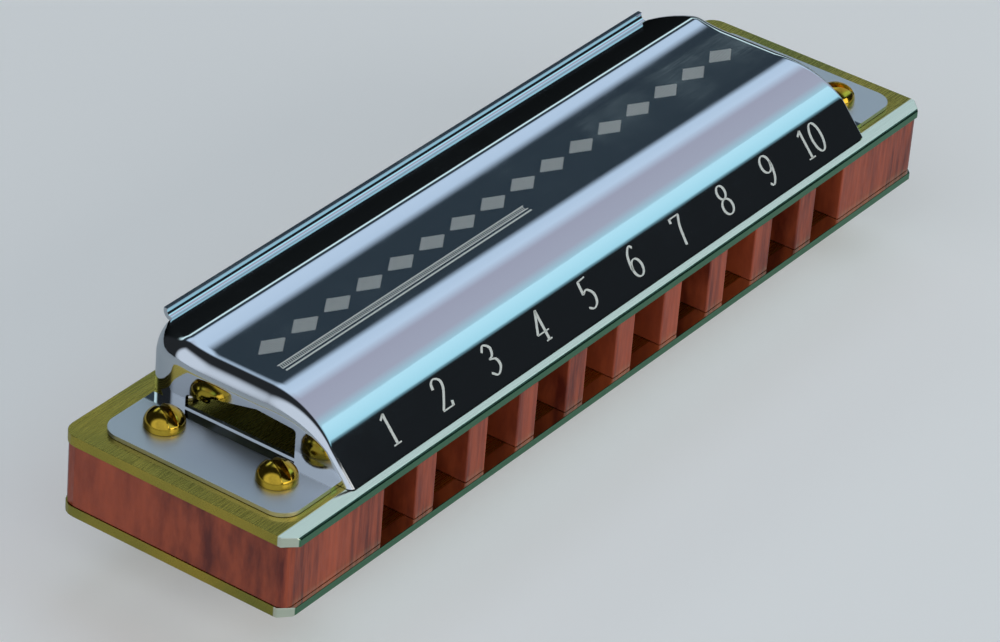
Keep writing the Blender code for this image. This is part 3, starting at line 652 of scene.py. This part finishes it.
def tab_prism(side):
    """The flat tab at one end, which the bolts hold down."""
    inner = COVER_END - SHEET / 2
    front = FRONT + TAB_FRONT_INSET
    back = REAR - TAB_REAR_INSET
    corners = (
        (side * inner, front, 0),
        (side * TAB_END, front, TAB_RADIUS),
        (side * TAB_END, back, TAB_RADIUS),
        (side * inner, back, 0),
    )
    return prism("tab", rounded_outline(corners), -SHEET / 2, SHEET)


def window_prism(side):
    """The cutter for the opening in one end wall."""
    top = PANEL_HEIGHT - ROLL_RADIUS - WINDOW_BELOW_ROLL
    sill = SHEET + WINDOW_SILL
    front = FRONT + WINDOW_FRONT
    back = front + WINDOW_LENGTH
    rear_top = top - WINDOW_REAR_DROP
    notch_top = rear_top - WINDOW_NOTCH_DROP
    notch_end = back + WINDOW_NOTCH_LENGTH
    corners = (
        (front, sill, 0),
        (front, top - WINDOW_BELOW_ROLL, WINDOW_RADIUS),
        (front + WINDOW_LENGTH * WINDOW_PEAK_SHARE, top, 0),
        (back, rear_top, WINDOW_RADIUS),
        (back, notch_top, 0),
        (notch_end, notch_top, WINDOW_RADIUS),
        (notch_end, sill, 0),
    )
    inner = COVER_END - REAR_CORNER_RADIUS / 2
    ends = sorted((side * inner, side * (inner + REAR_CORNER_RADIUS)))
    return prism("window", rounded_outline(corners, 6), *ends, upright=True)


def bolt_centre(place):
    low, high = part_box(f"cover_bolt_{place}")
    return (low + high) / 2


def round_outline(centre, radius, steps=48):
    turns = (2 * math.pi * i / steps for i in range(steps))
    return [Vector((centre.x + radius * math.cos(a), centre.y + radius * math.sin(a))) for a in turns]


def cover_mesh():
    """One cover with its foot at z = 0: the sheet with its tabs, windows and bolt holes."""
    sheet = cover_sheet()
    solidify = sheet.modifiers.new("sheet", "SOLIDIFY")
    solidify.thickness = SHEET
    solidify.offset = -1
    solidify.use_even_offset = True
    solidify.material_offset = 1
    # The inner face takes the inside steel, which is darkened as painted shade
    for key in ("cover_steel", "inside_steel"):
        sheet.data.materials.append(finish(key))
    for side in (-1, 1):
        combine(sheet, tab_prism(side), "UNION")
    x, y = 1.2 * PLATE_END, 1.6 * REAR
    below = [Vector(p) for p in ((-x, -y), (x, -y), (x, y), (-x, y))]
    combine(sheet, prism("below_foot", below, -3 * FOOT_OVERRUN, 0))
    for side in (-1, 1):
        combine(sheet, window_prism(side))
    for place in BOLT_PLACES:
        outline = round_outline(bolt_centre(place), BOLT_HOLE_RADIUS)
        combine(sheet, prism("tab_hole", outline, -2 * SHEET, 4 * SHEET))
    return applied(sheet, "cover_shell")


def bolt_mesh(shank_end):
    """A round-head slotted bolt with its head's seat at z = 0."""
    profile = []
    crown_steps = 14
    rise = BOLT_HEAD_HEIGHT - BOLT_HEAD_RIM
    for i in range(crown_steps + 1):
        angle = math.pi / 2 * i / crown_steps
        profile.append((BOLT_HEAD_RADIUS * math.sin(angle), BOLT_HEAD_RIM + rise * math.cos(angle)))
    chamfer = BOLT_RADIUS * BOLT_TIP_CHAMFER_SHARE
    profile += [
        (BOLT_HEAD_RADIUS, BOLT_RIM_EASE),
        (BOLT_HEAD_RADIUS - BOLT_RIM_EASE, 0),
        (BOLT_RADIUS, 0),
        (BOLT_RADIUS, shank_end + chamfer),
        (BOLT_RADIUS - chamfer, shank_end),
        (0, shank_end),
    ]
    bm = bmesh.new()
    points = [bm.verts.new((radius, 0, height)) for radius, height in profile]
    for first, second in zip(points, points[1:]):
        bm.edges.new((first, second))
    bolt = object_from(bm, "bolt_profile")
    screw = bolt.modifiers.new("turn", "SCREW")
    screw.steps = 64
    screw.render_steps = 64
    screw.use_merge_vertices = True
    screw.merge_threshold = 1e-6
    mesh = applied(bolt, "bolt_blank")
    bolt = bpy.data.objects.new("bolt_blank", mesh)
    bpy.context.scene.collection.objects.link(bolt)
    half = BOLT_SLOT_WIDTH / 2
    reach = 2 * BOLT_HEAD_RADIUS
    outline = [Vector(p) for p in ((-half, -reach), (half, -reach), (half, reach), (-half, reach))]
    combine(bolt, prism("slot", outline, BOLT_HEAD_HEIGHT - BOLT_SLOT_DEPTH, 2 * BOLT_HEAD_HEIGHT))
    bevel = bolt.modifiers.new("slot_edges", "BEVEL")
    bevel.width = BOLT_SLOT_BREAK
    bevel.segments = 2
    bevel.limit_method = "ANGLE"
    bevel.angle_limit = math.radians(40)
    return applied(bolt, "cover_bolt")


# Centre lines of the numbers in a box 0.6 wide and 1 high. Each stroke is (smooth, points), and a ring
# gives its middle and its reach across and up.
STROKES = {
    "0": [(True, "ring 0.30 0.50 0.25 0.48")],
    "1": [(False, ((0.31, 0.02), (0.31, 0.98))), (False, ((0.31, 0.97), (0.13, 0.84))),
          (False, ((0.14, 0.02), (0.48, 0.02)))],
    "2": [(True, ((0.08, 0.72), (0.13, 0.90), (0.30, 0.98), (0.50, 0.86), (0.50, 0.64), (0.32, 0.36),
                  (0.08, 0.05))), (False, ((0.06, 0.03), (0.54, 0.03))), (False, ((0.53, 0.02), (0.57, 0.17)))],
    "3": [(True, ((0.09, 0.82), (0.26, 0.98), (0.48, 0.82), (0.42, 0.60), (0.24, 0.53))),
          (True, ((0.24, 0.53), (0.50, 0.44), (0.54, 0.20), (0.30, 0.02), (0.07, 0.16)))],
    "4": [(False, ((0.41, 0.02), (0.41, 0.98))), (False, ((0.41, 0.96), (0.04, 0.29))),
          (False, ((0.03, 0.29), (0.58, 0.29))), (False, ((0.28, 0.02), (0.54, 0.02)))],
    "5": [(False, ((0.14, 0.95), (0.50, 0.98))), (False, ((0.14, 0.96), (0.11, 0.54))),
          (True, ((0.11, 0.54), (0.32, 0.62), (0.53, 0.42), (0.50, 0.15), (0.28, 0.02), (0.07, 0.12)))],
    "6": [(True, ((0.50, 0.90), (0.36, 0.98), (0.16, 0.78), (0.07, 0.45), (0.08, 0.28))),
          (True, "ring 0.31 0.30 0.23 0.28")],
    "7": [(False, ((0.07, 0.82), (0.09, 0.97))), (False, ((0.08, 0.96), (0.56, 0.96))),
          (True, ((0.55, 0.96), (0.38, 0.60), (0.28, 0.02)))],
    "8": [(True, "ring 0.30 0.75 0.19 0.22"), (True, "ring 0.30 0.27 0.24 0.25")],
    "9": [(True, ((0.10, 0.10), (0.24, 0.02), (0.44, 0.22), (0.53, 0.55), (0.52, 0.72))),
          (True, "ring 0.29 0.70 0.23 0.28")],
}


def stroke_points(smooth, points):
    """The centre line as close points, and whether it closes on itself."""
    if isinstance(points, str):
        x, y, across, up = (float(v) for v in points.split()[1:])
        turns = (2 * math.pi * i / 32 for i in range(32))
        return [Vector((x + across * math.cos(a), y + up * math.sin(a))) for a in turns], True
    points = [Vector(p) for p in points]
    if not smooth:
        return points, False
    ends = [2 * points[0] - points[1], *points, 2 * points[-1] - points[-2]]
    line = []
    for before, first, second, after in zip(ends, ends[1:], ends[2:], ends[3:]):
        for i in range(8):
            t = i / 8
            line.append(0.5 * (2 * first + (second - before) * t
                               + (2 * before - 5 * first + 4 * second - after) * t**2
                               + (3 * first - before - 3 * second + after) * t**3))
    return line + [points[-1]], False


def add_stroke(bm, line, closed, placed, thick, thin):
    """A ribbon that is wide where it runs up and narrow where it runs level, like a pen's."""
    count = len(line)
    rows = []
    for i, point in enumerate(line):
        before = line[i - 1] if closed or i else point
        after = line[(i + 1) % count] if closed or i + 1 < count else point
        heading = (after - before).normalized()
        half = (thin + (thick - thin) * abs(heading.y) ** 1.5) / 2
        across = Vector((-heading.y, heading.x)) * half
        rows.append([bm.verts.new(placed(point + across)), bm.verts.new(placed(point - across))])
    pairs = list(zip(rows, rows[1:])) + ([(rows[-1], rows[0])] if closed else [])
    for row, ahead in pairs:
        bm.faces.new((row[0], row[1], ahead[1], ahead[0]))


def face_place(along, up, off):
    """A point on the upper cover's front face: its X, how far up the face, and how far off it."""
    y = FRONT + FACE_INSET + math.cos(FACE_ANGLE) * up - math.sin(FACE_ANGLE) * off
    z = COVER_LOW.z + math.sin(FACE_ANGLE) * up + math.cos(FACE_ANGLE) * off
    return (along, y, z)


def etched(bm, name, normal):
    """Turns flat ribbons into thin raised marks on the cover, and rides them on the body."""
    for face in bm.faces:
        face.normal_update()
        if face.normal.dot(normal) < 0:
            face.normal_flip()
    piece = object_from(bm, name)
    solidify = piece.modifiers.new("thickness", "SOLIDIFY")
    solidify.thickness = bpy.context.scene.harmonica_sizes.etch_depth
    solidify.offset = 1
    piece.data.materials.append(finish("etched_marks"))
    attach(piece, BODY)


class HARMONICA_OT_covers(bpy.types.Operator):
    """Make both covers with fine curves in place of the CAD's"""

    bl_idname = "harmonica.covers"
    bl_label = "Covers"

    def execute(self, context):
        mesh = cover_mesh()
        over = Matrix.Rotation(math.pi, 4, "Y")
        places = {
            "upper_cover": Matrix.Translation((0, 0, COVER_LOW.z)),
            "lower_cover": Matrix.Translation((0, 0, LOWER_COVER_FOOT)) @ over,
        }
        for node, place in places.items():
            shell = bpy.data.objects.new(node + "_shell", mesh)
            context.scene.collection.objects.link(shell)
            shell.matrix_world = place
            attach(shell, BODY)
            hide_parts(node)
        return {"FINISHED"}


class HARMONICA_OT_numbers(bpy.types.Operator):
    """Etch the hole numbers on the front face of the upper cover"""

    bl_idname = "harmonica.numbers"
    bl_label = "Hole numbers"

    def execute(self, context):
        sizes = context.scene.harmonica_sizes
        height = sizes.number_height
        for number in range(1, HOLES + 1):
            bm = bmesh.new()
            middle = sizes.first_number + (number - 1) * sizes.number_pitch
            digits = str(number)
            advance = DIGIT_ADVANCE * height
            left = middle - advance * len(digits) / 2
            for index, digit in enumerate(digits):
                start = left + index * advance

                def placed(point):
                    up = NUMBER_START_UP_FACE + point.y * height
                    return face_place(start + point.x * height, up, MARK_GAP)

                for smooth, points in STROKES[digit]:
                    line, closed = stroke_points(smooth, points)
                    thick = sizes.thick_stroke / height
                    add_stroke(bm, line, closed, placed, thick, sizes.thin_stroke / height)
            etched(bm, f"hole_number_{number}", Vector((0, -math.sin(FACE_ANGLE), math.cos(FACE_ANGLE))))
        return {"FINISHED"}


class HARMONICA_OT_ornament(bpy.types.Operator):
    """Etch a plain hatched rule and a row of hatched lozenges on the upper cover's panel"""

    bl_idname = "harmonica.ornament"
    bl_label = "Panel ornament"

    def execute(self, context):
        self.rules()
        self.lozenges()
        return {"FINISHED"}

    def add_quad(self, bm, corners):
        top = COVER_LOW.z + PANEL_HEIGHT + MARK_GAP
        bm.faces.new([bm.verts.new((x * MM, y * MM, top)) for x, y in corners])

    def rules(self):
        bm = bmesh.new()
        for low, high in RULE_LINES:
            corners = ((RULE_START, low), (RULE_END, low), (RULE_END, high), (RULE_START, high))
            self.add_quad(bm, corners)
        for i in range(int((RULE_END - RULE_START) / HATCH_PITCH)):
            x = RULE_START + HATCH_PITCH * i
            top_x = x + HATCH_LEAN
            corners = ((x, HATCH_LOW), (x + HATCH_LINE, HATCH_LOW), (top_x + HATCH_LINE, HATCH_HIGH),
                       (top_x, HATCH_HIGH))
            self.add_quad(bm, corners)
        etched(bm, "panel_rules", Vector((0, 0, 1)))

    def lozenges(self):
        bm = bmesh.new()
        for index in range(LOZENGES):
            centre = LOZENGE_FIRST + LOZENGE_PITCH * index
            for step in range(-LOZENGE_LINES_EACH_SIDE, LOZENGE_LINES_EACH_SIDE + 1):
                x = centre + step * LOZENGE_LINE_PITCH
                tall = LOZENGE_HALF_HEIGHT * (1 - abs(step * LOZENGE_LINE_PITCH) / LOZENGE_HALF_WIDTH)
                low, high = LOZENGE_MIDDLE_Y - tall, LOZENGE_MIDDLE_Y + tall
                self.add_quad(bm, ((x, low), (x + LOZENGE_LINE, low), (x + LOZENGE_LINE, high), (x, high)))
        etched(bm, "panel_lozenges", Vector((0, 0, 1)))


class HARMONICA_OT_bolts(bpy.types.Operator):
    """Make the four cover bolts with fine heads in place of the CAD's"""

    bl_idname = "harmonica.bolts"
    bl_label = "Cover bolts"

    def execute(self, context):
        low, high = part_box("cover_bolt_front_left")
        mesh = bolt_mesh(low.z - (high.z - BOLT_HEAD_HEIGHT))
        mesh.materials.append(finish("bolt_brass"))
        for place in BOLT_PLACES:
            bolt = bpy.data.objects.new(f"bolt_{place}", mesh)
            context.scene.collection.objects.link(bolt)
            centre = bolt_centre(place)
            bolt.location = (centre.x, centre.y, high.z - BOLT_HEAD_HEIGHT)
            bolt.rotation_euler.z = math.radians(BOLT_TURNS[place])
            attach(bolt, BODY)
            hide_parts(f"cover_bolt_{place}")
        return {"FINISHED"}


class HARMONICA_OT_comb(bpy.types.Operator):
    """Give the comb its stained and lacquered wood"""

    bl_idname = "harmonica.comb"
    bl_label = "Comb"

    def execute(self, context):
        dress("comb", "comb_wood")
        softened_edges("comb", context.scene.harmonica_sizes.edge_break * 1.5)
        return {"FINISHED"}


class HARMONICA_OT_reed_plates(bpy.types.Operator):
    """Give the reed plates their rolled brass"""

    bl_idname = "harmonica.reed_plates"
    bl_label = "Reed plates"

    def execute(self, context):
        for name in ("upper_reed_plate", "lower_reed_plate"):
            dress(name, "plate_brass")
            softened_edges(name, context.scene.harmonica_sizes.edge_break * 2, 40)
        return {"FINISHED"}


class HARMONICA_OT_reeds(bpy.types.Operator):
    """Give the reeds and their rivets their brass"""

    bl_idname = "harmonica.reeds"
    bl_label = "Reeds and rivets"

    def execute(self, context):
        for row in ("blow", "draw"):
            for number in range(1, HOLES + 1):
                dress(f"{row}_reed_{number}", "reed_brass")
                dress(f"{row}_rivet_{number}", "rivet_brass")
                softened_edges(f"{row}_rivet_{number}", RIVET_BREAK, 60)
        return {"FINISHED"}


class HARMONICA_OT_fasteners(bpy.types.Operator):
    """Give the nuts their brass and the plate screws their zinc"""

    bl_idname = "harmonica.fasteners"
    bl_label = "Nuts and plate screws"

    def execute(self, context):
        for name in NODES:
            if name.startswith("cover_nut_"):
                dress(name, "bolt_brass")
                softened_edges(name, NUT_BREAK)
            elif name.startswith("plate_screw_"):
                dress(name, "screw_steel")
                softened_edges(name, SCREW_BREAK, 50)
        return {"FINISHED"}


def softbox(name, direction, size, distance, radiance, colour, shift):
    """An area lamp that faces the harmonica from a direction, as a row of LAMPS gives it."""
    data = bpy.data.lights.new(name, "AREA")
    data.shape = "RECTANGLE"
    data.size = size[0] * distance
    data.size_y = size[1] * distance
    data.energy = radiance * math.pi * data.size * data.size_y
    data.color = colour
    lamp = bpy.data.objects.new(name, data)
    bpy.context.scene.collection.objects.link(lamp)
    towards = Vector(direction).normalized()
    across = Vector((1, 0, 0))
    up = towards.cross(across)
    place = (towards + across * shift) * distance
    lamp.matrix_world = Matrix.Translation(place) @ Matrix((across, up, towards)).transposed().to_4x4()
    lamp.visible_camera = False


class HARMONICA_OT_stage(bpy.types.Operator):
    """Set up the floor, the soft lamps, the world and the camera"""

    bl_idname = "harmonica.stage"
    bl_label = "Stage"

    def execute(self, context):
        self.make_floor(context)
        self.make_world(context)
        for lamp in LAMPS:
            softbox(*lamp)
        self.make_camera(context)
        context.scene.view_settings.view_transform = "Standard"
        return {"FINISHED"}

    def make_floor(self, context):
        bm = bmesh.new()
        bmesh.ops.create_circle(bm, cap_ends=True, segments=96, radius=FLOOR_RADIUS)
        floor = object_from(bm, "floor")
        floor.location.z = -FLOOR_DROP
        made = bpy.data.materials.new("painted_floor")
        made.use_nodes = True
        tree = made.node_tree
        colour = (*context.scene.harmonica_colours.floor, 1)
        shader = tree.nodes["Principled BSDF"]
        shader.inputs["Base Color"].default_value = colour
        shader.inputs["Roughness"].default_value = 0.8
        seen = add_node(tree, "ShaderNodeLightPath").outputs["Is Camera Ray"]
        strength = add_node(tree, "ShaderNodeMath", {"operation": "MULTIPLY"}, {0: seen}, {1: FLOOR_GLOW})
        tree.links.new(strength.outputs[0], shader.inputs["Emission Strength"])
        shader.inputs["Emission Color"].default_value = colour
        floor.data.materials.append(made)

    def make_world(self, context):
        """Strips of light and dark that run along the harmonica, so that polished metal has something to
        show, and a pale left side. A camera sees only a plain backdrop."""
        world = bpy.data.worlds.new("studio")
        context.scene.world = world
        world.use_nodes = True
        tree = world.node_tree
        tree.nodes.clear()
        direction = add_node(tree, "ShaderNodeTexCoord").outputs["Generated"]
        axes = add_node(tree, "ShaderNodeSeparateXYZ", None, {0: direction}).outputs
        turn = add_node(tree, "ShaderNodeMath", {"operation": "ARCTAN2"}, {0: axes["Y"], 1: axes["Z"]})
        share = ranged(tree, turn.outputs[0], -math.pi / 2, math.pi / 2, 0, 1)
        strips = add_node(tree, "ShaderNodeValToRGB", None, {"Fac": share})
        stops = strips.color_ramp.elements
        stops[-1].color = stops[0].color
        for degrees, colour in STUDIO_STRIPS:
            stop = stops.new((degrees + 90) / 180)
            stop.color = (*colour, 1)
        right = eased(tree, axes["X"], *STRIPS_FADE)
        toward_left = add_node(
            tree, "ShaderNodeVectorMath", {"operation": "DOT_PRODUCT"}, {0: direction}, {1: LEFT_LIGHT_TOWARDS}
        )
        left_share = eased(tree, toward_left.outputs["Value"], *LEFT_LIGHT_FADE)
        left = mixed(tree, left_share, LEFT_DARK, LEFT_PALE)
        colour = mixed(tree, right, left, strips.outputs["Color"])
        lit = add_node(tree, "ShaderNodeBackground", None, {"Color": colour}, {"Strength": WORLD_STRENGTH})
        plain = add_node(tree, "ShaderNodeBackground", None, None, {"Color": linear(BACKDROP), "Strength": 1})
        path = add_node(tree, "ShaderNodeLightPath")
        sources = {0: path.outputs["Is Camera Ray"], 1: lit.outputs[0], 2: plain.outputs[0]}
        mix = add_node(tree, "ShaderNodeMixShader", None, sources)
        add_node(tree, "ShaderNodeOutputWorld", None, {"Surface": mix.outputs[0]})

    def make_camera(self, context):
        data = bpy.data.cameras.new("camera")
        data.lens = CAMERA_LENS_MM
        data.sensor_width = 36
        data.sensor_fit = "HORIZONTAL"
        data.clip_start = 0.01
        camera = bpy.data.objects.new("camera", data)
        context.scene.collection.objects.link(camera)
        axes = Matrix((CAMERA_RIGHT, CAMERA_UP, CAMERA_BACK)).transposed().to_4x4()
        camera.matrix_world = Matrix.Translation(CAMERA_PLACE) @ axes
        context.scene.camera = camera


class HARMONICA_PT_panel(bpy.types.Panel):
    bl_idname = "HARMONICA_PT_panel"
    bl_label = "Harmonica"
    bl_space_type = "VIEW_3D"
    bl_region_type = "UI"
    bl_category = "Harmonica"

    def draw(self, context):
        for group in (context.scene.harmonica_sizes, context.scene.harmonica_colours):
            for name in group.__annotations__:
                self.layout.prop(group, name)
        for operator in OPERATORS:
            self.layout.operator(operator.bl_idname)


OPERATORS = (
    HARMONICA_OT_covers,
    HARMONICA_OT_numbers,
    HARMONICA_OT_ornament,
    HARMONICA_OT_bolts,
    HARMONICA_OT_comb,
    HARMONICA_OT_reed_plates,
    HARMONICA_OT_reeds,
    HARMONICA_OT_fasteners,
    HARMONICA_OT_stage,
)
CLASSES = (HarmonicaSizes, HarmonicaColours, *OPERATORS, HARMONICA_PT_panel)


def register():
    for cls in CLASSES:
        bpy.utils.register_class(cls)
    bpy.types.Scene.harmonica_sizes = PointerProperty(type=HarmonicaSizes)
    bpy.types.Scene.harmonica_colours = PointerProperty(type=HarmonicaColours)


def unregister():
    del bpy.types.Scene.harmonica_sizes
    del bpy.types.Scene.harmonica_colours
    for cls in reversed(CLASSES):
        bpy.utils.unregister_class(cls)


def main():
    register()
    bpy.ops.harmonica.covers()
    bpy.ops.harmonica.numbers()
    bpy.ops.harmonica.ornament()
    bpy.ops.harmonica.bolts()
    bpy.ops.harmonica.comb()
    bpy.ops.harmonica.reed_plates()
    bpy.ops.harmonica.reeds()
    bpy.ops.harmonica.fasteners()
    bpy.ops.harmonica.stage()


if __name__ == "__main__":
    main()
